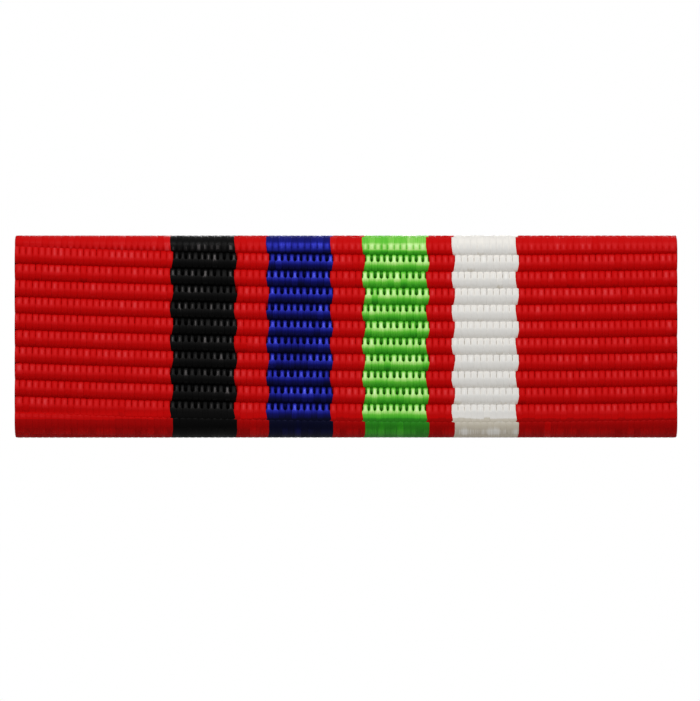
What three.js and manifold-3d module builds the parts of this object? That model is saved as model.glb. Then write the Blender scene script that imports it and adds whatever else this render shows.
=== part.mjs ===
// Medal ribbon bar: a striped, cross-ribbed ribbon wrapped round a folded sheet-metal slider, which
// slides onto a brooch bar with a hinged pin and a rotating safety catch.
// Millimetres, +Z up as worn, +X to the viewer's right, the face of the ribbon towards -Y.

import Module from "manifold-3d";
import * as THREE from "three";
import { mergeVertices } from "three/addons/utils/BufferGeometryUtils.js";

const wasm = await Module();
wasm.setup();

// ---- Driving dimensions ------------------------------------------------------------------------

// The finished bar, seen from the front
const ribbonWidth = 32.0;
const finishedHeight = 9.7;

// The cloth: stripes from left to right, each as wide as the warp threads woven side by side in it
const ribbonThickness = 0.5;
const tailEdge = 2.5; // height above the middle where each turned-over tail is cut off
const stripes = [
  { name: "ribbon_1_red", colour: "red", warpThreads: 49 },
  { name: "ribbon_2_black", colour: "black", warpThreads: 20 },
  { name: "ribbon_3_red", colour: "red", warpThreads: 10 },
  { name: "ribbon_4_blue", colour: "blue", warpThreads: 20 },
  { name: "ribbon_5_red", colour: "red", warpThreads: 10 },
  { name: "ribbon_6_green", colour: "green", warpThreads: 20 },
  { name: "ribbon_7_red", colour: "red", warpThreads: 8 },
  { name: "ribbon_8_white", colour: "white", warpThreads: 20 },
  { name: "ribbon_9_red", colour: "red", warpThreads: 50 },
];

// The double-sided film that holds the ribbon on the slider
const filmThickness = 0.05;
const filmTailEdge = 2.4;

// The slider: one strip of sheet folded into a channel, open at the back
const sliderSheet = 0.35;
const sliderCorner = 0.4; // outside bend radius
const sliderLipEdge = 2.2; // half the height of the opening between its lips
const sliderEndInset = 0.4; // how far the ribbon overhangs it at each side

// The brooch bar that the slider runs on
const barStock = 0.8;
const barSideClearance = 0.05; // in front of the bar and behind it
const barEdgeClearance = 0.1; // above the bar and below it
const barEndInset = 0.5; // at the open end, from the ribbon's edge
const barCornerRadius = 0.6;
const stopInset = 0.08; // from the ribbon's edge to the stop's outer face
const stopWidth = 0.3;
const stopRise = 0.3; // how far the stop stands above and below the bar

// The pin and its hinge
const hingeX = 11.5;
const pinHeight = 1.75; // from the back of the bar to the pin's axis
const pinRadius = 0.36;
const pinTipX = -13.9;
const pinTaperLength = 3.2;
const pinPointRadius = 0.03;
const eyeRadius = 0.85;
const eyeThickness = 0.9;
const eyeBoreRadius = 0.34;
const bracketSheet = 0.4;
const bracketSideGap = 0.05; // between the eye and each ear
const earRadius = 0.95;
const earBoreRadius = 0.32;
const endWallReach = 1.28; // from the hinge axis to the inner face of the end wall
const rivetRadius = 0.3;
const rivetHeadRadius = 0.58;
const rivetHeadHeight = 0.26;
const rivetHeadGap = 0.01;

// The safety catch
const catchX = -11.5;
const housingLength = 2.4;
const housingOuterRadius = 1.55;
const housingInnerRadius = 1.2;
const housingMouthHalfAngle = 44; // degrees to each side of straight back
const housingFootHalfHeight = 1.85;
const housingFootThickness = 0.3;
const tongueLength = 0.8; // how far the foot runs past the ring, under the thumb tab
const stopLugThickness = 0.35;
const stopLugGap = 0.02; // between a lug and the thumb tab that rests on it
const sleeveRadius = 1.14;
const sleeveCollarRadius = 1.4;
const sleeveCollarWidth = 0.35;
const sleeveCollarGap = 0.05;
const sleeveBoreRadius = 0.5;
const sleeveSlotHalfWidth = 0.45;
const thumbTabReach = 2.35;
const thumbTabThickness = 0.5;
const thumbTabWidth = 0.8;
const thumbTabLift = 5; // degrees that the tab stands behind level, at each end of its turn

// Solder fillets where the fittings stand on the bar
const solderRise = 0.22;
const solderSpread = 0.25;
const solderThinEdge = 0.05;

// How finely round shapes are divided
const roundSegments = 48;
const cornerSegments = 8;
const pinTipSegments = 6;
const rivetDomeSegments = 5;

const mergeTolerance = 1e-5; // corners closer than this are one corner
const cutMargin = 1; // how far a cutting block runs past what it cuts

// ---- Sizes that follow -------------------------------------------------------------------------

const clothStack = ribbonThickness + filmThickness;
const sliderHeight = finishedHeight - 2 * clothStack;
const sliderDepth = barStock + 2 * barSideClearance + 2 * sliderSheet;
const sliderHalfLength = ribbonWidth / 2 - sliderEndInset;
const barHeight = sliderHeight - 2 * (sliderSheet + barEdgeClearance);
const barFront = sliderSheet + barSideClearance;
const barBack = barFront + barStock;
const pinAxisY = barBack + pinHeight;
const earInner = eyeThickness / 2 + bracketSideGap;
const earOuter = earInner + bracketSheet;
const bracketEnd = endWallReach + bracketSheet;

// The origin is the middle of the whole bar. Its back is where the sleeve's slot cuts its collars.
const frontmostY = -clothStack;
const rearmostY = pinAxisY + Math.sqrt(sleeveCollarRadius ** 2 - sleeveSlotHalfWidth ** 2);
const middleY = (frontmostY + rearmostY) / 2;

// ---- Materials ---------------------------------------------------------------------------------

const dyes = {
  red: material(0xc4141f, 0.62, 0),
  black: material(0x17171a, 0.55, 0),
  blue: material(0x1d26b4, 0.58, 0),
  green: material(0x74cf45, 0.6, 0),
  white: material(0xe4e3dd, 0.6, 0),
};
const brass = material(0xb8923f, 0.36, 1);
const nickel = material(0xb9b7ae, 0.3, 1);
const pinSteel = material(0xc9cbce, 0.22, 1);
const solder = material(0x8f9092, 0.48, 1);
const film = material(0xd9cfae, 0.45, 0);

function material(colour, roughness, metalness) {
  return new THREE.MeshStandardMaterial({ color: colour, roughness, metalness });
}

// ---- Building blocks ---------------------------------------------------------------------------

function extrude(shape, depth, curveSegments = cornerSegments) {
  return new THREE.ExtrudeGeometry(shape, { depth, bevelEnabled: false, curveSegments });
}

// A shape drawn with Y across and Z up, pushed along X from one x to another
function alongX(shape, fromX, toX, curveSegments = cornerSegments) {
  const toWorld = new THREE.Matrix4().makeBasis(
    new THREE.Vector3(0, 1, 0),
    new THREE.Vector3(0, 0, 1),
    new THREE.Vector3(1, 0, 0),
  );
  return extrude(shape, toX - fromX, curveSegments).applyMatrix4(toWorld).translate(fromX, 0, 0);
}

// A shape drawn with X across and Z up, pushed along Y from one y to another
function alongY(shape, fromY, toY) {
  return extrude(shape, toY - fromY).rotateX(Math.PI / 2).translate(0, toY, 0);
}

// A shape drawn with X across and Y up, pushed along Z from one z to another
function alongZ(shape, fromZ, toZ) {
  return extrude(shape, toZ - fromZ, roundSegments / 2).translate(0, 0, fromZ);
}

function block(fromX, toX, fromY, toY, fromZ, toZ) {
  const box = new THREE.BoxGeometry(toX - fromX, toY - fromY, toZ - fromZ);
  return box.translate((fromX + toX) / 2, (fromY + toY) / 2, (fromZ + toZ) / 2);
}

// A turned shape: the profile's points are (radius, place along the axis)
function turned(profile) {
  const points = profile.map(([radius, along]) => new THREE.Vector2(radius, along));
  return new THREE.LatheGeometry(points, roundSegments);
}

function toSolid(geometry) {
  const bare = geometry.clone();
  bare.deleteAttribute("normal");
  bare.deleteAttribute("uv");
  const merged = mergeVertices(bare, mergeTolerance);
  return new wasm.Manifold(
    new wasm.Mesh({
      numProp: 3,
      vertProperties: new Float32Array(merged.attributes.position.array),
      triVerts: new Uint32Array(merged.index.array),
    }),
  );
}

function fromSolid(solid) {
  const mesh = solid.getMesh();
  const geometry = new THREE.BufferGeometry();
  geometry.setAttribute("position", new THREE.BufferAttribute(new Float32Array(mesh.vertProperties), 3));
  geometry.setIndex(new THREE.BufferAttribute(new Uint32Array(mesh.triVerts), 1));
  const faceted = geometry.toNonIndexed();
  faceted.computeVertexNormals();
  return faceted;
}

function joined(...geometries) {
  return fromSolid(geometries.map(toSolid).reduce((whole, next) => whole.add(next)));
}

function cut(geometry, ...tools) {
  return fromSolid(tools.map(toSolid).reduce((whole, tool) => whole.subtract(tool), toSolid(geometry)));
}

function node(name, geometry, look) {
  const mesh = new THREE.Mesh(geometry, look);
  mesh.name = name;
  return mesh;
}

// ---- The slider and what wraps round it --------------------------------------------------------

// One layer of the channel, drawn with Y across and Z up. It lies between two offsets outwards from
// the slider's outer surface, and its ends stop at lipEdge above and below the middle of the back.
function channelLayer(innerOffset, outerOffset, lipEdge) {
  const top = sliderHeight / 2;
  const frontBend = sliderCorner;
  const backBend = sliderDepth - sliderCorner;
  const bendHeight = top - sliderCorner;
  const inner = sliderCorner + innerOffset;
  const outer = sliderCorner + outerOffset;
  const quarter = Math.PI / 2;
  const shape = new THREE.Shape();
  shape.moveTo(sliderDepth + innerOffset, lipEdge);
  shape.lineTo(sliderDepth + outerOffset, lipEdge);
  shape.absarc(backBend, bendHeight, outer, 0, quarter, false);
  shape.absarc(frontBend, bendHeight, outer, quarter, 2 * quarter, false);
  shape.absarc(frontBend, -bendHeight, outer, 2 * quarter, 3 * quarter, false);
  shape.absarc(backBend, -bendHeight, outer, 3 * quarter, 4 * quarter, false);
  shape.lineTo(sliderDepth + outerOffset, -lipEdge);
  shape.lineTo(sliderDepth + innerOffset, -lipEdge);
  shape.absarc(backBend, -bendHeight, inner, 4 * quarter, 3 * quarter, true);
  shape.absarc(frontBend, -bendHeight, inner, 3 * quarter, 2 * quarter, true);
  shape.absarc(frontBend, bendHeight, inner, 2 * quarter, quarter, true);
  shape.absarc(backBend, bendHeight, inner, quarter, 0, true);
  return shape;
}

function sliderNodes() {
  const channel = channelLayer(-sliderSheet, 0, sliderLipEdge);
  const flatTop = sliderHeight / 2 - sliderCorner;
  const back = sliderDepth;
  const end = sliderHalfLength;
  return [
    node("ribbon_slider", alongX(channel, -end, end), nickel),
    node("adhesive_front", block(-end, end, -filmThickness, 0, -flatTop, flatTop), film),
    node("adhesive_upper_lip", block(-end, end, back, back + filmThickness, filmTailEdge, flatTop), film),
    node("adhesive_lower_lip", block(-end, end, back, back + filmThickness, -flatTop, -filmTailEdge), film),
  ];
}

function ribbonNodes() {
  const layer = channelLayer(filmThickness, clothStack, tailEdge);
  const allThreads = stripes.reduce((sum, stripe) => sum + stripe.warpThreads, 0);
  const threadPitch = ribbonWidth / allThreads;
  let threadsSoFar = 0;
  return stripes.map((stripe) => {
    const fromX = threadsSoFar * threadPitch - ribbonWidth / 2;
    threadsSoFar += stripe.warpThreads;
    const toX = threadsSoFar * threadPitch - ribbonWidth / 2;
    return node(stripe.name, alongX(layer, fromX, toX), dyes[stripe.colour]);
  });
}

// ---- The brooch bar ----------------------------------------------------------------------------

// A flat bar with round corners at the end where the slider goes on, and a taller stop at the other
function broochBar() {
  const top = barHeight / 2;
  const stopTop = top + stopRise;
  const stopOuter = -ribbonWidth / 2 + stopInset;
  const stopInner = stopOuter + stopWidth;
  const openEnd = ribbonWidth / 2 - barEndInset;
  const cornerX = openEnd - barCornerRadius;
  const cornerZ = top - barCornerRadius;
  const outline = new THREE.Shape();
  outline.moveTo(stopOuter, -stopTop);
  outline.lineTo(stopInner, -stopTop);
  outline.lineTo(stopInner, -top);
  outline.absarc(cornerX, -cornerZ, barCornerRadius, -Math.PI / 2, 0, false);
  outline.absarc(cornerX, cornerZ, barCornerRadius, 0, Math.PI / 2, false);
  outline.lineTo(stopInner, top);
  outline.lineTo(stopInner, stopTop);
  outline.lineTo(stopOuter, stopTop);
  return node("brooch_bar", alongY(outline, barFront, barBack), brass);
}

// A sloping fillet round a rectangular foot on the back of the bar
function solderFillet(name, fromX, toX, halfHeight) {
  const centreX = (fromX + toX) / 2;
  const halfLength = (toX - fromX) / 2;
  const foot = block(fromX, toX, barBack, barBack + solderRise, -halfHeight, halfHeight);
  const wedgeLength = 2 * (halfLength + solderSpread);
  const wedgeHeight = 2 * (halfHeight + solderSpread);
  const wedge = new THREE.BoxGeometry(wedgeLength, solderRise, wedgeHeight);
  const corners = wedge.attributes.position;
  for (let i = 0; i < corners.count; i += 1) {
    if (corners.getY(i) > 0) {
      corners.setX(i, Math.sign(corners.getX(i)) * (halfLength + solderThinEdge));
      corners.setZ(i, Math.sign(corners.getZ(i)) * (halfHeight + solderThinEdge));
    }
  }
  wedge.translate(centreX, barBack + solderRise / 2, 0);
  return node(name, cut(wedge, foot), solder);
}

// ---- The pin and its hinge ---------------------------------------------------------------------

function circleHole(x, y, radius) {
  return new THREE.Path().absarc(x, y, radius, 0, 2 * Math.PI, true);
}

// Two ears, a base and an end wall, all folded from one sheet
function hingeBracket() {
  const earTop = pinAxisY + earRadius;
  const openSide = hingeX - earRadius;
  const wallSide = hingeX + bracketEnd;
  const ear = new THREE.Shape();
  ear.moveTo(openSide, barBack);
  ear.lineTo(wallSide, barBack);
  ear.lineTo(wallSide, earTop);
  ear.absarc(hingeX, pinAxisY, earRadius, Math.PI / 2, Math.PI, false);
  ear.holes.push(circleHole(hingeX, pinAxisY, earBoreRadius));
  const base = block(openSide, wallSide, barBack, barBack + bracketSheet, -earOuter, earOuter);
  const endWall = block(hingeX + endWallReach, wallSide, barBack, earTop, -earOuter, earOuter);
  const shape = joined(base, endWall, alongZ(ear, earInner, earOuter), alongZ(ear, -earOuter, -earInner));
  return node("hinge_bracket", shape, brass);
}

function hingeRivet() {
  const headStart = earOuter + rivetHeadGap;
  const dome = [];
  for (let i = 0; i <= rivetDomeSegments; i += 1) {
    const angle = (i / rivetDomeSegments) * (Math.PI / 2);
    dome.push([rivetHeadRadius * Math.cos(angle), headStart + rivetHeadHeight * Math.sin(angle)]);
  }
  dome[rivetDomeSegments][0] = 0;
  const upperHalf = [[rivetRadius, headStart], ...dome];
  const lowerHalf = upperHalf.map(([radius, along]) => [radius, -along]).reverse();
  const rivet = turned([...lowerHalf, ...upperHalf]).rotateX(Math.PI / 2);
  return node("hinge_rivet", rivet.translate(hingeX, pinAxisY, 0), nickel);
}

// A round wire with a tapered point, and a flattened eye at its hinge end
function pinStem() {
  const taper = [[0, pinTipX]];
  for (let i = 0; i <= pinTipSegments; i += 1) {
    const along = i / pinTipSegments;
    const radius = pinPointRadius + (pinRadius - pinPointRadius) * Math.sin((along * Math.PI) / 2);
    taper.push([radius, pinTipX + pinTaperLength * along]);
  }
  const rootX = hingeX - (eyeRadius + eyeBoreRadius) / 2;
  const wire = turned([...taper, [pinRadius, rootX], [0, rootX]]).rotateZ(-Math.PI / 2);
  wire.translate(0, pinAxisY, 0);
  const disc = new THREE.Shape().absarc(hingeX, pinAxisY, eyeRadius, 0, 2 * Math.PI, false);
  disc.holes.push(circleHole(hingeX, pinAxisY, eyeBoreRadius));
  const eye = alongZ(disc, -eyeThickness / 2, eyeThickness / 2);
  return node("pin_stem", joined(wire, eye), pinSteel);
}

// ---- The safety catch --------------------------------------------------------------------------

// A strip rolled into an open ring on a flat foot. The mouth of the ring faces straight back. The
// foot's tongue has its edges folded up into two lugs, which stop the sleeve's thumb tab.
function catchHousing() {
  const mouth = THREE.MathUtils.degToRad(housingMouthHalfAngle);
  const ring = new THREE.Shape();
  ring.absarc(pinAxisY, 0, housingOuterRadius, mouth, 2 * Math.PI - mouth, false);
  ring.absarc(pinAxisY, 0, housingInnerRadius, 2 * Math.PI - mouth, mouth, true);
  const ringStart = catchX - housingLength / 2;
  const ringEnd = catchX + housingLength / 2;
  const tongueEnd = ringEnd + tongueLength;
  const top = housingFootHalfHeight;
  const foot = block(ringStart, tongueEnd, barBack, barBack + housingFootThickness, -top, top);
  const lift = THREE.MathUtils.degToRad(thumbTabLift);
  const lugInner = top - stopLugThickness;
  const tabUnderside = (thumbTabThickness / 2) / Math.cos(lift) - lugInner * Math.tan(lift);
  const lugBack = pinAxisY - tabUnderside - stopLugGap;
  const upperLug = block(ringEnd, tongueEnd, barBack, lugBack, lugInner, top);
  const lowerLug = block(ringEnd, tongueEnd, barBack, lugBack, -top, -lugInner);
  const rolled = alongX(ring, ringStart, ringEnd, roundSegments);
  return node("catch_housing", joined(foot, rolled, upperLug, lowerLug), brass);
}

// A slotted spool: its collars hold it in the housing, and its thumb tab turns it
function catchSleeve() {
  const collarInner = housingLength / 2 + sleeveCollarGap;
  const collarOuter = collarInner + sleeveCollarWidth;
  const spool = turned([
    [sleeveBoreRadius, -collarOuter],
    [sleeveCollarRadius, -collarOuter],
    [sleeveCollarRadius, -collarInner],
    [sleeveRadius, -collarInner],
    [sleeveRadius, collarInner],
    [sleeveCollarRadius, collarInner],
    [sleeveCollarRadius, collarOuter],
    [sleeveBoreRadius, collarOuter],
    [sleeveBoreRadius, -collarOuter],
  ]).rotateZ(-Math.PI / 2);
  const tabOutline = new THREE.Shape();
  const tabRound = thumbTabThickness / 2;
  const tabStart = (sleeveBoreRadius + sleeveCollarRadius) / 2;
  tabOutline.moveTo(-tabRound, tabStart);
  tabOutline.lineTo(tabRound, tabStart);
  tabOutline.absarc(0, thumbTabReach - tabRound, tabRound, 0, Math.PI, false);
  const tab = alongX(tabOutline, collarInner, collarInner + thumbTabWidth);
  tab.rotateX(-THREE.MathUtils.degToRad(180 - thumbTabLift));
  const slot = block(
    -collarOuter - cutMargin,
    collarOuter + thumbTabWidth + cutMargin,
    0,
    sleeveCollarRadius + cutMargin,
    -sleeveSlotHalfWidth,
    sleeveSlotHalfWidth,
  );
  const shape = fromSolid(toSolid(spool).add(toSolid(tab)).subtract(toSolid(slot)));
  return node("catch_sleeve", shape.translate(catchX, pinAxisY, 0), nickel);
}

// ---- The assembly ------------------------------------------------------------------------------

const group = new THREE.Group();
group.add(
  broochBar(),
  hingeBracket(),
  solderFillet("hinge_solder", hingeX - earRadius, hingeX + bracketEnd, earOuter),
  hingeRivet(),
  pinStem(),
  catchHousing(),
  solderFillet(
    "catch_solder",
    catchX - housingLength / 2,
    catchX + housingLength / 2 + tongueLength,
    housingFootHalfHeight,
  ),
  catchSleeve(),
  ...sliderNodes(),
  ...ribbonNodes(),
);
group.position.y = -middleY;

export default group;
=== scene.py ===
"""A medal ribbon bar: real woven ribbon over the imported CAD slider, with finished metal behind it.

Everything is in metres, in the CAD's frame: +X to the viewer's right, +Z up, the ribbon's face towards -Y.
"""

import math

import bpy
import numpy as np
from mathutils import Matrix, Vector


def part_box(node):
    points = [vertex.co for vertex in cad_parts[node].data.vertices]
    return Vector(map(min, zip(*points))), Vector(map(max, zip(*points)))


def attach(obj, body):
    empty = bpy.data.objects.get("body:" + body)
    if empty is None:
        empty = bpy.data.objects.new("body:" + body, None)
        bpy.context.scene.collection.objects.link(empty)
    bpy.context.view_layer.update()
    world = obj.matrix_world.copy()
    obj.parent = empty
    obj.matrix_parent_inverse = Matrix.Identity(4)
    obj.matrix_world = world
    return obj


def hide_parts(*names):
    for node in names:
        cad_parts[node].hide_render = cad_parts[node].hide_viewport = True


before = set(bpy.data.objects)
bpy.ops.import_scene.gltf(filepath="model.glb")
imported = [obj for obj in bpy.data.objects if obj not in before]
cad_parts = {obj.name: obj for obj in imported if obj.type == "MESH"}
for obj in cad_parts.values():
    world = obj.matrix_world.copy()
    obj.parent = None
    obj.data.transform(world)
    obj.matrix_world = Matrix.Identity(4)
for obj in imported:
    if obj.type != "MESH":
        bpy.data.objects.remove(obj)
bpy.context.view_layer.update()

MM = 0.001

# ---- Driving dimensions of the cloth, in metres ---------------------------------------------------

# Warp threads side by side in each stripe, from left to right, with the stripe's dye
STRIPES = (
    ("ribbon_1_red", "red", 49),
    ("ribbon_2_black", "black", 20),
    ("ribbon_3_red", "red", 10),
    ("ribbon_4_blue", "blue", 20),
    ("ribbon_5_red", "red", 10),
    ("ribbon_6_green", "green", 20),
    ("ribbon_7_red", "red", 8),
    ("ribbon_8_white", "white", 20),
    ("ribbon_9_red", "red", 50),
)
# How far the loose filaments of each dye's yarn fill the gaps between its floats, from 0 to 1
FULLNESS = {"red": 0.86, "black": 0.2, "blue": 0.16, "green": 0.12, "white": 0.84}
RIB_PITCH = 0.80 * MM
GROOVE_START = -0.035 * MM  # height of the groove nearest the middle of the face, where the weft is lowest
BOW_LOWEST = 6.0 * MM  # the weft is slightly bowed across the ribbon, and is lowest this far to the right
BOW_RISE = 0.40 * MM  # how much higher it is at the left selvage
BEND_RADIUS = 0.55 * MM  # of the cloth's middle plane, where it turns over the edges
TAIL_SHORT_OF_FILM = 0.10 * MM  # how far short of the film's edge each tail is cut
TAIL_UNEVENNESS = 0.05 * MM
END_MARGIN = 0.01 * MM  # the least distance between a thread's end and its next ring

# A warp thread floats over one rib and dives under the one above it. For one such length of thread: its
# place in ribs, from the groove below its float; its middle's height above the cloth's middle; its half
# width; and its painted light, from 0, painted shade in the groove and under the lip, to 1, painted light
# where it faces up to the lamps. The floats are pressed into one smooth band over the crown, curl over a lip
# just above the groove, and are narrow, with gaps between them, where they come up from under the rib above.
THREAD_PATH = (
    (0.00, 0.050 * MM, 0.176 * MM, 0.00),
    (0.07, 0.118 * MM, 0.182 * MM, 0.03),
    (0.15, 0.170 * MM, 0.182 * MM, 0.08),
    (0.26, 0.208 * MM, 0.182 * MM, 0.24),
    (0.39, 0.225 * MM, 0.182 * MM, 0.66),
    (0.49, 0.222 * MM, 0.182 * MM, 0.88),
    (0.52, 0.216 * MM, 0.140 * MM, 0.93),
    (0.56, 0.206 * MM, 0.102 * MM, 1.00),
    (0.64, 0.180 * MM, 0.096 * MM, 1.00),
    (0.76, 0.130 * MM, 0.094 * MM, 1.00),
    (0.86, 0.085 * MM, 0.092 * MM, 0.46),
    (0.95, 0.020 * MM, 0.088 * MM, 0.10),
    (1.03, -0.070 * MM, 0.082 * MM, 0.00),
    (1.13, -0.150 * MM, 0.110 * MM, 0.00),
    (1.26, -0.200 * MM, 0.160 * MM, 0.00),
    (1.42, -0.195 * MM, 0.175 * MM, 0.20),
    (1.54, -0.125 * MM, 0.170 * MM, 0.25),
    (1.64, -0.060 * MM, 0.155 * MM, 0.25),
    (1.76, -0.025 * MM, 0.140 * MM, 0.20),
    (1.88, -0.010 * MM, 0.130 * MM, 0.10),
    (1.95, 0.000 * MM, 0.130 * MM, 0.00),
)
THREAD_PERIOD = 2.0
CROWN_HALF_THICKNESS = 0.050 * MM
GROOVE_HALF_THICKNESS = 0.058 * MM
FULLEST_HALF_WIDTH = 0.172 * MM  # of a thread whose filaments fill all the room there is

# Where the cloth is pulled over an edge its floats are pressed flat and wide: how much of the way to the
# pressed height they go, that height and half width, and how far past the start of the bend this begins and
# is complete. Less than zero is before the bend.
PRESSED_SHARE = 0.93
PRESSED_HEIGHT = 0.250 * MM
PRESSED_HALF_WIDTH = 0.190 * MM
PRESSED_TOP = (0.10 * MM, 0.45 * MM)
PRESSED_BOTTOM = (-0.60 * MM, -0.20 * MM)
# Their painted light there, by how far past the start of the bend. Over the top it is a painted highlight
# along the fold and then a middle level. Underneath it is a painted shade, but for a faint band of painted
# light partway round.
PAINTED_LIGHT_OVER_TOP = ((0.00 * MM, 1.0), (0.26 * MM, 1.0), (0.34 * MM, 0.5))
PAINTED_LIGHT_UNDERNEATH = ((0.20 * MM, -0.42), (0.34 * MM, -0.14), (0.46 * MM, -0.14), (0.60 * MM, -0.36))
# Where these begin to take over from the painted light along the thread's path, and where they have
PAINTED_TOP_FROM = (0.04 * MM, 0.14 * MM)
PAINTED_UNDERSIDE_FROM = (-0.16 * MM, -0.04 * MM)
# Below this place in its rib a float gives way to, or takes over from, its neighbour at a stripe's edge
LEAN_FROM = 0.42
# By rank from the edge of the stripe: how far a float's outer side moves by its lower end, in thread pitches
LEAN = (-0.5, 0.5)
DIVE_DEPTH = 0.07 * MM  # how far below the cloth's middle a thread is out of sight
SELVAGE_PITCHES = 2  # threads whose middles are within this many pitches of the selvage spread out to it

# A thread's cross-section, as shares of its half width and half thickness: flat on the face side
SECTION = (
    (1, -0.1),
    (0.88, 0.68),
    (0.5, 0.95),
    (0, 1),
    (-0.5, 0.95),
    (-0.88, 0.68),
    (-1, -0.1),
    (0, -0.9),
)

# How much one float differs from the next: standard deviations, as shares or in metres. The last two are
# for a thread with empty room all round it: the more of its room it fills, the less it can differ or shift.
HEIGHT_VARIATION = 0.03
WIDTH_VARIATION = 0.24
SIDEWAYS_VARIATION = 0.030 * MM

# The weft is a bundle of four threads in each rib, which turn back at the selvages
WEFT_RADIUS = 0.052 * MM
WEFT_HALF_SPACING = 0.055 * MM
WEFT_DROP = 0.10 * MM  # how far below the middle of the rib the bundle lies
WEFT_TURN_RADIUS = 0.10 * MM
WEFT_STRAIGHT_ENDS = 3 * WEFT_TURN_RADIUS  # how far short of the selvage its straight run ends
WEFT_SIDES = 8
WEFT_SHOWS = 0.015 * MM  # how far its turns stand out past the last warp thread
WEFT_STEPS = 20  # across the ribbon
TURN_STEPS = 5

# The camera's framing, as shares of the picture, and its lens and sensor in millimetres
PICTURE = (700, 701)
WIDTH_SHARE = 0.9478  # of the picture's width that the bar fills
LEFT_SHARE = 0.0057  # how far left of the middle it sits
UP_SHARE = 0.0200  # how far above the middle it sits
LENS = 250.0
SENSOR = 36.0
NEAREST_SEEN = 0.05  # shares of the camera's distance
FARTHEST_SEEN = 20

# A round pale floor, out of the camera's frame below the bar, which throws some light up at it
FLOOR_DROP = 120 * MM
FLOOR_RADIUS = 86 * MM
FLOOR_SIDES = 96
FLOOR_COLOUR = (232, 231, 228)
FLOOR_ROUGHNESS = 0.9

# Light from all round, from 0 to 1: from below, from level with the object, and from above
FILL_BELOW = 0.30
FILL_LEVEL = 0.58
FILL_ABOVE = 0.46
# How high a direction is, from -1 straight down to 1 straight up, where the first and the last of these are
# reached, and the place of the middle one between them
FILL_BELOW_HEIGHT = -0.6
FILL_ABOVE_HEIGHT = 0.8
FILL_LEVEL_PLACE = 0.45

# Soft distant lights: name, strength, softness, azimuth and elevation. Angles are in degrees.
KEY_SUN = ("key", 0.45, 26, 0, 50)
REAR_SUN = ("rear", 0.8, 30, 172, 18)

# The box of light in front of the bar: its size, and where it hangs from the middle of the ribbon's face
STRIP_LENGTH = 70 * MM
STRIP_HEIGHT = 10 * MM
STRIP_DISTANCE = 30 * MM
STRIP_ELEVATION = 48
STRIP_POWER = 0.0050  # watts

# How a camera's picture answers to light: shadows a little deeper, and highlights held back
COMBINED_CURVE = 3  # after those for red, green and blue
TONE_CURVE = ((0, 0), (0.05, 0.036), (0.20, 0.185), (0.45, 0.46), (0.80, 0.76), (1, 1))

rng = np.random.default_rng(20)

# ---- Where the cloth goes, from the CAD ----------------------------------------------------------

slider_low, slider_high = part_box("ribbon_slider")
first_low, first_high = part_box(STRIPES[0][0])
_, last_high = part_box(STRIPES[-1][0])
film_low, film_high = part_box("adhesive_front")
lip_low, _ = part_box("adhesive_upper_lip")

film = film_high.y - film_low.y
cloth = slider_low.y - first_low.y - film
half_cloth = cloth / 2
half_width = (last_high.x - first_low.x) / 2
front_plane = first_low.y + half_cloth
top_plane = first_high.z - half_cloth
back_plane = slider_high.y + film + half_cloth
straight = top_plane - BEND_RADIUS
across_top = (back_plane - BEND_RADIUS) - (front_plane + BEND_RADIUS)
bend_length = BEND_RADIUS * math.pi / 2
half_edge = bend_length + across_top / 2
tail_cut = lip_low.z + TAIL_SHORT_OF_FILM
half_length = straight + 2 * bend_length + across_top + (straight - tail_cut)

thread_count = sum(count for _, _, count in STRIPES)
warp_edge = half_width - WEFT_SHOWS
thread_pitch = 2 * warp_edge / thread_count
first_rib = math.ceil((-half_length - GROOVE_START) / RIB_PITCH)
last_rib = math.floor((half_length - GROOVE_START - BOW_RISE) / RIB_PITCH) - 1


def bow(x):
    """How much higher the ribs are at x than where they are lowest."""
    return BOW_RISE * ((x - BOW_LOWEST) / (half_width + BOW_LOWEST)) ** 2


def over_the_slider(along, out):
    """The (y, z) of points a distance along the cloth, up from the middle of its face, and out from its
    middle plane. The cloth runs straight up the face, over the top edge and down the back, and the same
    below."""
    side = np.where(along < 0, -1.0, 1.0)
    s = np.abs(along)
    start_top = straight + bend_length
    end_top = start_top + across_top
    start_back = end_top + bend_length
    turn = np.clip((s - straight) / BEND_RADIUS, 0, math.pi / 2) + np.clip(
        (s - end_top) / BEND_RADIUS, 0, math.pi / 2
    )
    normal_y = -np.cos(turn)
    normal_z = np.sin(turn)
    top_run = np.clip(s - start_top, 0, across_top)
    centre_y = front_plane + BEND_RADIUS + top_run
    centre_z = np.minimum(s, straight) - np.maximum(s - start_back, 0)
    y = centre_y + (BEND_RADIUS + out) * normal_y
    z = centre_z + (BEND_RADIUS + out) * normal_z
    return y, side * z


def new_mesh(name, vertices, faces, thread, painted_light):
    """A smooth mesh object of threads, which carries each point's painted light and its thread coordinates:
    how far it is across its thread, from -1 to 1, how far along it in millimetres, and the tone of its
    float."""
    mesh = bpy.data.meshes.new(name)
    mesh.from_pydata(vertices.tolist(), [], faces)
    layer = mesh.attributes.new("thread", "FLOAT_VECTOR", "POINT")
    layer.data.foreach_set("vector", thread.astype(np.float32).ravel())
    layer = mesh.attributes.new("painted_light", "FLOAT", "POINT")
    layer.data.foreach_set("value", painted_light.astype(np.float32))
    mesh.shade_smooth()
    mesh.update()
    piece = bpy.data.objects.new(name, mesh)
    bpy.context.scene.collection.objects.link(piece)
    return piece


def tube_faces(rings, sides, first):
    """Quads round a tube of rings, and a face at each end, as lists of point numbers from first on."""
    ring = np.arange(rings - 1)[:, None] * sides
    side = np.arange(sides)[None, :]
    after = (side + 1) % sides
    quads = np.stack(
        [ring + side, ring + after, ring + sides + after, ring + sides + side], axis=-1
    ).reshape(-1, 4) + first
    near = [first + i for i in reversed(range(sides))]
    far = [first + (rings - 1) * sides + i for i in range(sides)]
    return [*quads.tolist(), near, far]


# ---- The warp: one tube for each thread, over and under the ribs --------------------------------


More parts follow.
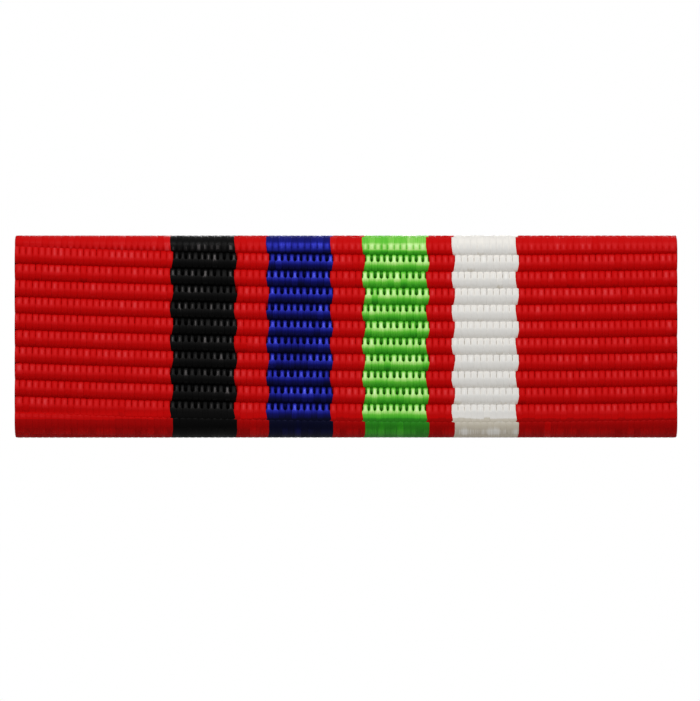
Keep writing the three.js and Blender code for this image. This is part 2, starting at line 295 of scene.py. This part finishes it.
def thread_profile(number, centre, low, high, fullness):
    """What a warp thread is like at each of its rings, from low to high along the cloth: the ring's place
    along the cloth, height above the cloth's middle, half width, middle from left to right, half thickness,
    tone, painted light and shade, and how much it leans to its stripe's edge."""
    lift = GROOVE_START + bow(centre) + (number % 2) * RIB_PITCH
    period = THREAD_PERIOD * RIB_PITCH
    floats = np.arange(math.floor((low - lift) / period), math.ceil((high - lift) / period) + 1)
    place, height, half_width_there, painted_light = np.array(THREAD_PATH).T
    along = (lift + floats[:, None] * period + place[None, :] * RIB_PITCH).ravel()
    lean = np.tile(np.clip(1 - place / LEAN_FROM, 0, 1), len(floats))
    jitter = np.repeat(rng.normal(size=(4, len(floats))), len(place), axis=1)
    height_jitter, width_jitter, side_jitter, tone = jitter
    out = np.tile(height, len(floats)) * (1 + HEIGHT_VARIATION * height_jitter)
    lift_share = np.abs(out) / height.max()
    filled = half_width_there + fullness * np.maximum(FULLEST_HALF_WIDTH - half_width_there, 0)
    loose = np.tile(np.clip(1 - filled / FULLEST_HALF_WIDTH, 0, 1), len(floats))
    half_wide = np.tile(filled, len(floats)) * (1 + WIDTH_VARIATION * loose * width_jitter)
    middle = centre + SIDEWAYS_VARIATION * loose * side_jitter
    half_thick = GROOVE_HALF_THICKNESS + (CROWN_HALF_THICKNESS - GROOVE_HALF_THICKNESS) * lift_share
    showing = np.clip(1 + out / DIVE_DEPTH, 0, 1)
    # Painted light along the thread, with a painted highlight over the top edge and a painted shade under
    # the bottom
    painted_light = paint_light_at_the_edges(np.tile(painted_light, len(floats)), along)
    showing *= pressed(along)
    out += showing * PRESSED_SHARE * np.maximum(PRESSED_HEIGHT - out, 0)
    half_wide += showing * np.maximum(PRESSED_HALF_WIDTH - half_wide, 0)

    inside = (along > low + END_MARGIN) & (along < high - END_MARGIN)
    steps = np.concatenate([[low], along[inside], [high]])
    uneven = (out, half_wide, middle, half_thick, tone, painted_light, lean)
    return steps, *(np.interp(steps, along, values) for values in uneven)


def warp_thread(number, low, high, fullness, ranks):
    """One warp thread, from low to high along the cloth: its points, their thread coordinates and painted
    light, and how many rings they make. ranks are how many threads of its stripe lie to its left and right."""
    centre = (number + 0.5) * thread_pitch - warp_edge
    steps, out, half_wide, middle, half_thick, tone, painted_light, lean = thread_profile(
        number, centre, low, high, fullness
    )
    slope = np.gradient(out, steps)
    level = 1 / np.sqrt(1 + slope**2)
    sideways, upwards = np.array(SECTION).T
    x = middle[:, None] + half_wide[:, None] * sideways[None, :]
    x = reach_the_selvage(x, centre, half_wide, sideways)
    for side, rank in zip((-1, 1), ranks):
        outer = np.maximum(side * sideways, 0)
        if rank < len(LEAN) and warp_edge - side * centre > SELVAGE_PITCHES * thread_pitch:
            x = x + side * LEAN[rank] * thread_pitch * lean[:, None] * outer[None, :]
    lift_off = half_thick[:, None] * upwards[None, :]
    s = steps[:, None] - lift_off * (slope * level)[:, None]
    n = out[:, None] + lift_off * level[:, None]
    y, z = over_the_slider(s, n)
    points = np.stack([x, y, z], axis=-1).reshape(-1, 3)
    thread = np.stack(np.broadcast_arrays(sideways[None, :], s / MM, tone[:, None]), axis=-1)
    painted_shading = np.repeat(painted_light, len(SECTION))
    return points, thread.reshape(-1, 3), painted_shading, len(steps)


def smooth_step(values, low, high):
    """0 up to low, 1 from high on, and a smooth rise between them."""
    share = np.clip((values - low) / (high - low), 0, 1)
    return share * share * (3 - 2 * share)


def over_the_edges(along):
    """How far a point is into a stretch that turns over an edge, from its nearer end, and whether that is
    the top edge."""
    past = half_edge - np.abs(np.abs(along) - straight - half_edge)
    return past, along > 0


def pressed(along):
    """How far the floats are pressed flat by the edges, from 0 to 1."""
    past, top = over_the_edges(along)
    return np.where(top, smooth_step(past, *PRESSED_TOP), smooth_step(past, *PRESSED_BOTTOM))


def paint_light_at_the_edges(painted_light, along):
    """The painted light along the filaments, with the painted highlight over the top edge and the painted
    shade under the bottom edge put in.
    """
    past, top = over_the_edges(along)
    share = np.where(top, smooth_step(past, *PAINTED_TOP_FROM), smooth_step(past, *PAINTED_UNDERSIDE_FROM))
    over_top, underneath = (np.interp(past, *np.array(path).T) for path in (PAINTED_LIGHT_OVER_TOP, PAINTED_LIGHT_UNDERNEATH))
    target = np.where(top, over_top, underneath)
    return painted_light + share * (target - painted_light)


def reach_the_selvage(x, centre, half_wide, sideways):
    """Keeps the last two threads inside the selvage, and spreads their floats out to it."""
    for side in (-1, 1):
        room = warp_edge - side * centre
        if room > SELVAGE_PITCHES * thread_pitch:
            continue
        outer = side * sideways > 0
        reach = np.interp(half_wide, (0.5 * thread_pitch, thread_pitch), (0.5 * thread_pitch, room))
        spread = centre + side * reach[:, None] * np.abs(sideways)[None, :]
        x = np.where(outer[None, :], spread, x)
    return x


def warp_band(name, first_thread, count, fullness):
    """All the warp threads of one stripe, as one piece."""
    points, threads, painted_shading, faces = [], [], [], []
    placed = 0
    for number in range(first_thread, first_thread + count):
        low, high = half_length * np.array([-1, 1]) + rng.uniform(-1, 1, 2) * TAIL_UNEVENNESS
        ranks = (number - first_thread, first_thread + count - 1 - number)
        thread_points, thread_map, painted_light, rings = warp_thread(number, low, high, fullness, ranks)
        faces += tube_faces(rings, len(SECTION), placed)
        placed += len(thread_points)
        points.append(thread_points)
        threads.append(thread_map)
        painted_shading.append(painted_light)
    return new_mesh(name, np.concatenate(points), faces, np.concatenate(threads), np.concatenate(painted_shading))


# ---- The weft: four threads that run to and fro through the ribs ----------------------------------


def weft_route(upper_first, height):
    """The (x, along, out) points of one weft thread through every rib, with a turn at each selvage."""
    route = []
    straight_end = half_width - WEFT_STRAIGHT_ENDS
    quarter = np.linspace(0, math.pi / 2, TURN_STEPS + 1)
    for rib in range(first_rib, last_rib + 1):
        heading = 1 if (rib - first_rib) % 2 == 0 else -1
        upper = upper_first if heading == 1 else not upper_first
        offset = WEFT_HALF_SPACING if upper else -WEFT_HALF_SPACING
        centre = GROOVE_START + (rib + 0.5) * RIB_PITCH - WEFT_DROP
        for x in np.linspace(-straight_end, straight_end, WEFT_STEPS) * heading:
            route.append((x, centre + offset + bow(x), height))
        if rib == last_rib:
            continue
        edge = half_width - WEFT_RADIUS - (2 * WEFT_RADIUS if upper else 0)
        level = bow(heading * half_width)
        start = centre + offset + level
        end = centre + RIB_PITCH - offset + level
        for angle in quarter:
            x = heading * (edge - WEFT_TURN_RADIUS * (1 - math.sin(angle)))
            route.append((x, start + WEFT_TURN_RADIUS * (1 - math.cos(angle)), height))
        for angle in quarter:
            x = heading * (edge - WEFT_TURN_RADIUS * (1 - math.cos(angle)))
            route.append((x, end - WEFT_TURN_RADIUS * (1 - math.sin(angle)), height))
    return np.array(route)


def weft_tube(route, first):
    """A round tube along a weft thread's route."""
    direction = np.gradient(route, axis=0)
    direction[:, 2] = 0
    direction /= np.linalg.norm(direction, axis=1, keepdims=True)
    beside = np.stack([-direction[:, 1], direction[:, 0]], axis=-1)
    angle = np.arange(WEFT_SIDES) / WEFT_SIDES * 2 * math.pi
    across = WEFT_RADIUS * np.cos(angle)[None, :]
    lift = WEFT_RADIUS * np.sin(angle)[None, :]
    x = route[:, 0:1] + beside[:, 0:1] * across
    s = route[:, 1:2] + beside[:, 1:2] * across
    y, z = over_the_slider(s, route[:, 2:3] + lift)
    points = np.stack([x, y, z], axis=-1).reshape(-1, 3)
    thread = np.stack([np.broadcast_to(np.cos(angle)[None, :], x.shape), x / MM, 0 * x], axis=-1)
    return points, thread.reshape(-1, 3), tube_faces(len(route), WEFT_SIDES, first)


def weft():
    """The four threads of the weft, as one piece."""
    points, threads, faces = [], [], []
    placed = 0
    for upper_first in (True, False):
        for height in (-WEFT_HALF_SPACING, WEFT_HALF_SPACING):
            tube, thread, tube_quads = weft_tube(weft_route(upper_first, height), placed)
            placed += len(tube)
            points.append(tube)
            threads.append(thread)
            faces += tube_quads
    thread = np.concatenate(threads)
    return new_mesh("ribbon_weft", np.concatenate(points), faces, thread, np.zeros(len(thread)))


# ---- Materials ----------------------------------------------------------------------------------

# The noise patterns on yarn: how they are stretched across, along and from float to float, scale and detail
STREAKS = ((4.5, 0.8, 3.0), 1.6, 3.0)
FILAMENTS = ((9.0, 0.5, 5.0), 2.0, 2.0)
FILAMENT_BUMP = (0.3, 0.02 * MM)  # strength and depth
MIDDLE_OF_NOISE = 0.5

# A point's place among its yarn's five shades is the sum of these shares of its painted light, its streaks
# and the tone of its float, less a painted shade that grows from the ridge of a fully lit float to its
# flanks
SHADE_STOPS = (0.02, 0.18, 0.50, 0.80, 0.94)
PAINTED_LIGHT_SHARE = 0.64
STREAK_SHARE = 0.4
TONE_SHARE = 0.055
FULLY_LIT_POWER = 6.0
# How much smoother the yarn is in a bright streak, and on a float with a bright tone
STREAK_GLOSS = 0.4
TONE_GLOSS = 0.06

# The noise patterns on metal, and the place of its dull and its clean colour in their even mix
ALL_WAYS = (1, 1, 1)
STAIN_DETAIL = 4.0
LINE_DETAIL = 3.0
METAL_STOPS = (0.30, 0.62)
LINE_ROUGHNESS = 0.22
STAIN_ROUGHNESS = -0.12
LINE_DEPTH = 0.01 * MM
ALONG_BAR = (400.0, 9000.0, 9000.0)  # the grain of drawn metal
CAST_GRAIN = (3000.0, 3000.0, 3000.0)

# The film: its bubbles' scale and detail, its two colours and their places, its roughness, and the strength
# and depth of its bumps
BUBBLES = (4000.0, 3.0)
FILM_SHADES = ((0.35, (196, 180, 140)), (0.6, (226, 216, 184)))
FILM_ROUGHNESS = 0.42
BUBBLE_BUMP = (0.3, 0.01 * MM)


def linear(red, green, blue):
    """A linear colour from screen values of 0 to 255."""
    channels = [v / 255 for v in (red, green, blue)]
    return tuple(v / 12.92 if v <= 0.04045 else ((v + 0.055) / 1.055) ** 2.4 for v in channels) + (1.0,)


def start_material(name):
    """A new material, with its nodes, its links and its shader."""
    material = bpy.data.materials.new(name)
    material.use_nodes = True
    nodes = material.node_tree.nodes
    return material, nodes, material.node_tree.links, nodes["Principled BSDF"]


def read_attribute(nodes, name, output):
    """A socket that gives one of the attributes the threads' points carry."""
    node = nodes.new("ShaderNodeAttribute")
    node.attribute_name = name
    return node.outputs[output]


def stretched_noise(nodes, links, vector, stretch, scale, detail):
    """Noise read from a vector socket that is first scaled by stretch along each axis."""
    mapping = nodes.new("ShaderNodeMapping")
    mapping.inputs["Scale"].default_value = stretch
    links.new(vector, mapping.inputs["Vector"])
    noise = nodes.new("ShaderNodeTexNoise")
    noise.inputs["Scale"].default_value = scale
    noise.inputs["Detail"].default_value = detail
    links.new(mapping.outputs["Vector"], noise.inputs["Vector"])
    return noise.outputs["Fac"]


def ramp(nodes, links, source, stops):
    """A colour ramp over a source socket. Each stop is (place, colour)."""
    node = nodes.new("ShaderNodeValToRGB")
    elements = node.color_ramp.elements
    while len(elements) < len(stops):
        elements.new(0.5)
    for element, (place, colour) in zip(elements, stops):
        element.position = place
        element.color = colour
    links.new(source, node.inputs["Fac"])
    return node.outputs["Color"]


def math_node(nodes, links, operation, first, second):
    """The result of a sum on two values, each of which is a socket or a number."""
    node = nodes.new("ShaderNodeMath")
    node.operation = operation
    for socket, value in zip(node.inputs, (first, second)):
        if isinstance(value, (int, float)):
            socket.default_value = value
        else:
            links.new(value, socket)
    return node.outputs["Value"]


def bump(nodes, links, shader, height, strength, distance):
    """Raises a shader's surface by a height socket."""
    node = nodes.new("ShaderNodeBump")
    node.inputs["Strength"].default_value = strength
    node.inputs["Distance"].default_value = distance
    links.new(height, node.inputs["Height"])
    links.new(node.outputs["Normal"], shader.inputs["Normal"])


def yarn_material(name, shades, roughness=0.5, specular=0.2, metallic=0.0, painted_flank_depth=0.6):
    """Dyed filament yarn, in five shades: a painted shade under the bottom edge; a painted shade in the
    grooves and under the lips, which for red and white is painted lighter instead, to fill their shade;
    middle; a painted light along the ridges of floats that face up to the lamps; and a few painted glints.
    It has fine streaks along each thread, and a tone and gloss that differ from float to float. metallic is
    the share of light that the filaments reflect in the dye's colour. The flank depth is how dark the
    painted shade on a fully lit float's flanks is."""
    material, nodes, links, shader = start_material(name)
    thread = read_attribute(nodes, "thread", "Vector")
    parts = nodes.new("ShaderNodeSeparateXYZ")
    links.new(thread, parts.inputs["Vector"])
    off_middle = parts.outputs["X"]
    tone = parts.outputs["Z"]
    streaks = stretched_noise(nodes, links, thread, *STREAKS)
    # The painted light and shade that each point carries
    painted_light = read_attribute(nodes, "painted_light", "Fac")
    # A painted shade on the flanks of the most brightly painted floats, where the gaps between them lie
    off_ridge = math_node(nodes, links, "MULTIPLY", off_middle, off_middle)
    fully_lit = math_node(nodes, links, "POWER", painted_light, FULLY_LIT_POWER)
    painted_flank = math_node(nodes, links, "MULTIPLY", fully_lit, off_ridge)
    shadow = math_node(nodes, links, "MULTIPLY", painted_flank, painted_flank_depth)
    lit = math_node(nodes, links, "MULTIPLY", painted_light, PAINTED_LIGHT_SHARE)
    painted_shading = math_node(nodes, links, "SUBTRACT", lit, shadow)
    streaked = math_node(nodes, links, "MULTIPLY", streaks, STREAK_SHARE)
    toned = math_node(nodes, links, "MULTIPLY", tone, TONE_SHARE)
    untoned = math_node(nodes, links, "ADD", painted_shading, streaked)
    place = math_node(nodes, links, "ADD", untoned, toned)
    stops = [(stop, linear(*shade)) for stop, shade in zip(SHADE_STOPS, shades)]
    links.new(ramp(nodes, links, place, stops), shader.inputs["Base Color"])
    tone_gloss = math_node(nodes, links, "MULTIPLY", tone, -TONE_GLOSS)
    streak_gloss = math_node(nodes, links, "MULTIPLY", streaks, -STREAK_GLOSS)
    uneven = math_node(nodes, links, "ADD", tone_gloss, streak_gloss)
    rough = math_node(nodes, links, "ADD", uneven, roughness + STREAK_GLOSS * MIDDLE_OF_NOISE)
    links.new(rough, shader.inputs["Roughness"])
    shader.inputs["Specular IOR Level"].default_value = specular
    shader.inputs["Metallic"].default_value = metallic
    filaments = stretched_noise(nodes, links, thread, *FILAMENTS)
    bump(nodes, links, shader, filaments, *FILAMENT_BUMP)
    return material


def metal_material(name, clean, dull, roughness, grain=ALONG_BAR, stain_scale=700.0, bump_strength=0.25):
    """Plated or bare metal, with soft stains, and a fine grain that can be felt."""
    material, nodes, links, shader = start_material(name)
    place = nodes.new("ShaderNodeTexCoord").outputs["Object"]
    stains = stretched_noise(nodes, links, place, ALL_WAYS, stain_scale, STAIN_DETAIL)
    lines = stretched_noise(nodes, links, place, grain, 1.0, LINE_DETAIL)
    half_stains = math_node(nodes, links, "MULTIPLY", stains, 0.5)
    half_lines = math_node(nodes, links, "MULTIPLY", lines, 0.5)
    shade = math_node(nodes, links, "ADD", half_stains, half_lines)
    stops = [(stop, linear(*colour)) for stop, colour in zip(METAL_STOPS, (dull, clean))]
    links.new(ramp(nodes, links, shade, stops), shader.inputs["Base Color"])
    shader.inputs["Metallic"].default_value = 1.0
    spread = math_node(nodes, links, "MULTIPLY", lines, LINE_ROUGHNESS)
    worn = math_node(nodes, links, "MULTIPLY", stains, STAIN_ROUGHNESS)
    total = math_node(nodes, links, "ADD", spread, worn)
    rough = math_node(nodes, links, "ADD", total, roughness)
    links.new(rough, shader.inputs["Roughness"])
    bump(nodes, links, shader, lines, bump_strength, LINE_DEPTH)
    return material


# Each dye's shades, in order: painted shade under the bottom edge, groove, middle, painted light on the
# ridges, painted glint
YARNS = {
    # Its groove shade is lighter than its middle: a painted light that fills the shade of the grooves
    "red": yarn_material(
        "red_yarn",
        ((174, 1, 1), (203, 1, 1), (198, 4, 4), (213, 27, 30), (222, 59, 63)),
        specular=0.1,
        painted_flank_depth=0.85,
    ),
    "black": yarn_material(
        "black_yarn",
        ((1, 1, 1), (2, 2, 2), (8, 8, 8), (22, 21, 21), (98, 94, 94)),
        roughness=0.40,
        specular=0.12,
    ),
    "blue": yarn_material(
        "blue_yarn",
        ((2, 6, 46), (5, 10, 70), (18, 23, 124), (46, 54, 172), (78, 86, 204)),
        roughness=0.44,
        metallic=0.4,
    ),
    "green": yarn_material(
        "green_yarn",
        ((40, 140, 12), (60, 174, 24), (112, 206, 64), (196, 254, 148), (218, 255, 174)),
        roughness=0.42,
        specular=0.4,
    ),
    # Its groove shade is its lightest and its ridge shade darker than its middle: painted light in the
    # grooves, and less painted light on the lit ridges
    "white": yarn_material(
        "white_yarn",
        ((214, 206, 191), (251, 248, 242), (244, 241, 235), (238, 236, 231), (247, 245, 241)),
        painted_flank_depth=0.95,
    ),
}
WEFT_YARN = yarn_material(
    "weft_yarn",
    ((90, 2, 2), (90, 2, 2), (120, 4, 5), (150, 12, 14), (150, 12, 14)),
    specular=0.08,
)
METALS = {
    "brass": metal_material("brass", (222, 186, 108), (186, 146, 78), 0.30),
    "nickel": metal_material("nickel", (210, 207, 199), (176, 172, 162), 0.24),
    "pin_steel": metal_material("pin_steel", (222, 223, 226), (188, 190, 194), 0.18),
    "solder": metal_material(
        "solder",
        (176, 177, 180),
        (116, 117, 120),
        0.42,
        grain=CAST_GRAIN,
        stain_scale=2500.0,
        bump_strength=0.5,
    ),
}


def film_material():
    """Adhesive film, slightly yellow, and mottled by the air trapped under it."""
    material, nodes, links, shader = start_material("adhesive")
    place = nodes.new("ShaderNodeTexCoord").outputs["Object"]
    bubbles = stretched_noise(nodes, links, place, ALL_WAYS, *BUBBLES)
    colour = ramp(nodes, links, bubbles, [(stop, linear(*shade)) for stop, shade in FILM_SHADES])
    links.new(colour, shader.inputs["Base Color"])
    shader.inputs["Roughness"].default_value = FILM_ROUGHNESS
    bump(nodes, links, shader, bubbles, *BUBBLE_BUMP)
    return material


# ---- Dressing the CAD and adding the cloth -------------------------------------------------------

# The finish of each metal piece, and how far its sharp edges are rounded
METAL_FINISHES = (
    ("brooch_bar", "brass", 0.06 * MM),
    ("hinge_bracket", "brass", 0.05 * MM),
    ("hinge_solder", "solder", 0),
    ("hinge_rivet", "nickel", 0),
    ("pin_stem", "pin_steel", 0.04 * MM),
    ("catch_housing", "brass", 0.05 * MM),
    ("catch_solder", "solder", 0),
    ("catch_sleeve", "nickel", 0.04 * MM),
    ("ribbon_slider", "nickel", 0.05 * MM),
)
ADHESIVE_PIECES = ("adhesive_front", "adhesive_upper_lip", "adhesive_lower_lip")
ROUNDING_SEGMENTS = 2
SHARP_ANGLE = 35  # degrees: edges that turn less than this aren't rounded


def dress(node, material, rounded=0):
    """Gives a CAD node its finished material, and rounds its sharp edges if rounded isn't 0."""
    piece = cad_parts[node]
    for slot in piece.material_slots:
        slot.material = material
    if rounded:
        rounding = piece.modifiers.new("rounded_edges", "BEVEL")
        rounding.width = rounded
        rounding.segments = ROUNDING_SEGMENTS
        rounding.limit_method = "ANGLE"
        rounding.angle_limit = math.radians(SHARP_ANGLE)
        rounding.harden_normals = True


def dress_the_metal():
    """Finishes every CAD piece that isn't cloth."""
    for node, metal, rounded in METAL_FINISHES:
        dress(node, METALS[metal], rounded)
    adhesive = film_material()
    for node in ADHESIVE_PIECES:
        dress(node, adhesive)


def weave_the_ribbon():
    """The weft, and a band of warp threads for each stripe, all on the slider."""
    first_thread = 0
    for node, dye, count in STRIPES:
        band = warp_band("warp" + node.removeprefix("ribbon"), first_thread, count, FULLNESS[dye])
        band.data.materials.append(YARNS[dye])
        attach(band, "slider")
        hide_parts(node)
        first_thread += count
    filling = weft()
    filling.data.materials.append(WEFT_YARN)
    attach(filling, "slider")


# ---- Floor, light and camera ---------------------------------------------------------------------


def make_floor():
    """A plain pale disc below the bar, out of the camera's frame."""
    bpy.ops.mesh.primitive_circle_add(
        vertices=FLOOR_SIDES, radius=FLOOR_RADIUS, fill_type="NGON", location=(0, 0, -FLOOR_DROP)
    )
    floor = bpy.context.object
    floor.name = "floor"
    material, _, _, shader = start_material("floor")
    shader.inputs["Base Color"].default_value = linear(*FLOOR_COLOUR)
    shader.inputs["Roughness"].default_value = FLOOR_ROUGHNESS
    floor.data.materials.append(material)


def make_world():
    """White behind the object. The light it gives is weakest from below and strongest from the level."""
    world = bpy.data.worlds.new("studio")
    bpy.context.scene.world = world
    world.use_nodes = True
    nodes = world.node_tree.nodes
    links = world.node_tree.links
    seen = nodes.new("ShaderNodeBackground")
    lighting = nodes["Background"]
    direction = nodes.new("ShaderNodeSeparateXYZ")
    links.new(nodes.new("ShaderNodeTexCoord").outputs["Generated"], direction.inputs["Vector"])
    height = nodes.new("ShaderNodeMapRange")
    height.inputs["From Min"].default_value = FILL_BELOW_HEIGHT
    height.inputs["From Max"].default_value = FILL_ABOVE_HEIGHT
    links.new(direction.outputs["Z"], height.inputs["Value"])
    levels = [(0, FILL_BELOW), (FILL_LEVEL_PLACE, FILL_LEVEL), (1, FILL_ABOVE)]
    fill = ramp(nodes, links, height.outputs["Result"], [(place, (v, v, v, 1)) for place, v in levels])
    links.new(fill, lighting.inputs["Color"])
    seen.inputs["Color"].default_value = (1, 1, 1, 1)
    path = nodes.new("ShaderNodeLightPath")
    mix = nodes.new("ShaderNodeMixShader")
    links.new(path.outputs["Is Camera Ray"], mix.inputs["Fac"])
    links.new(lighting.outputs["Background"], mix.inputs[1])
    links.new(seen.outputs["Background"], mix.inputs[2])
    links.new(mix.outputs["Shader"], nodes["World Output"].inputs["Surface"])


def make_sun(name, strength, softness, azimuth, elevation):
    """A soft distant light that shines from an azimuth (0 is in front) and an elevation, in degrees."""
    light = bpy.data.lights.new(name, "SUN")
    light.energy = strength
    light.angle = math.radians(softness)
    lamp = bpy.data.objects.new(name, light)
    lamp.rotation_euler = (math.radians(90 - elevation), 0, math.radians(azimuth))
    bpy.context.scene.collection.objects.link(lamp)


def make_strip_light():
    """A long low box of light, close in front of the bar and above it, which lights its upper edge most."""
    light = bpy.data.lights.new("strip", "AREA")
    light.shape = "RECTANGLE"
    light.size = STRIP_LENGTH
    light.size_y = STRIP_HEIGHT
    light.energy = STRIP_POWER
    lamp = bpy.data.objects.new("strip", light)
    elevation = math.radians(STRIP_ELEVATION)
    lamp.rotation_euler = (math.radians(90 - STRIP_ELEVATION), 0, 0)
    lamp.location = (
        0,
        front_plane - STRIP_DISTANCE * math.cos(elevation),
        STRIP_DISTANCE * math.sin(elevation),
    )
    lamp.visible_camera = False
    bpy.context.scene.collection.objects.link(lamp)


def make_camera():
    """Straight in front of the bar, which nearly fills the picture's width, and a camera's tones."""
    scene = bpy.context.scene
    data = bpy.data.cameras.new("camera")
    data.lens = LENS
    data.sensor_width = SENSOR
    seen_width = 2 * half_width / WIDTH_SHARE
    pixel = seen_width / PICTURE[0]
    seen_long_side = pixel * max(PICTURE)
    distance = seen_long_side * LENS / SENSOR
    data.clip_start = distance * NEAREST_SEEN
    data.clip_end = distance * FARTHEST_SEEN
    camera = bpy.data.objects.new("camera", data)
    middle_z = (first_low.z + first_high.z) / 2
    camera.location = (
        LEFT_SHARE * PICTURE[0] * pixel,
        first_low.y - distance,
        middle_z - UP_SHARE * PICTURE[1] * pixel,
    )
    camera.rotation_euler = (math.radians(90), 0, 0)
    scene.collection.objects.link(camera)
    scene.camera = camera
    scene.view_settings.view_transform = "Standard"
    scene.view_settings.use_curve_mapping = True
    mapping = scene.view_settings.curve_mapping
    points = mapping.curves[COMBINED_CURVE].points
    for place, level in TONE_CURVE[1:-1]:
        points.new(place, level)
    mapping.update()


make_camera()
make_world()
make_floor()
make_sun(*KEY_SUN)
make_strip_light()
make_sun(*REAR_SUN)
dress_the_metal()
weave_the_ribbon()
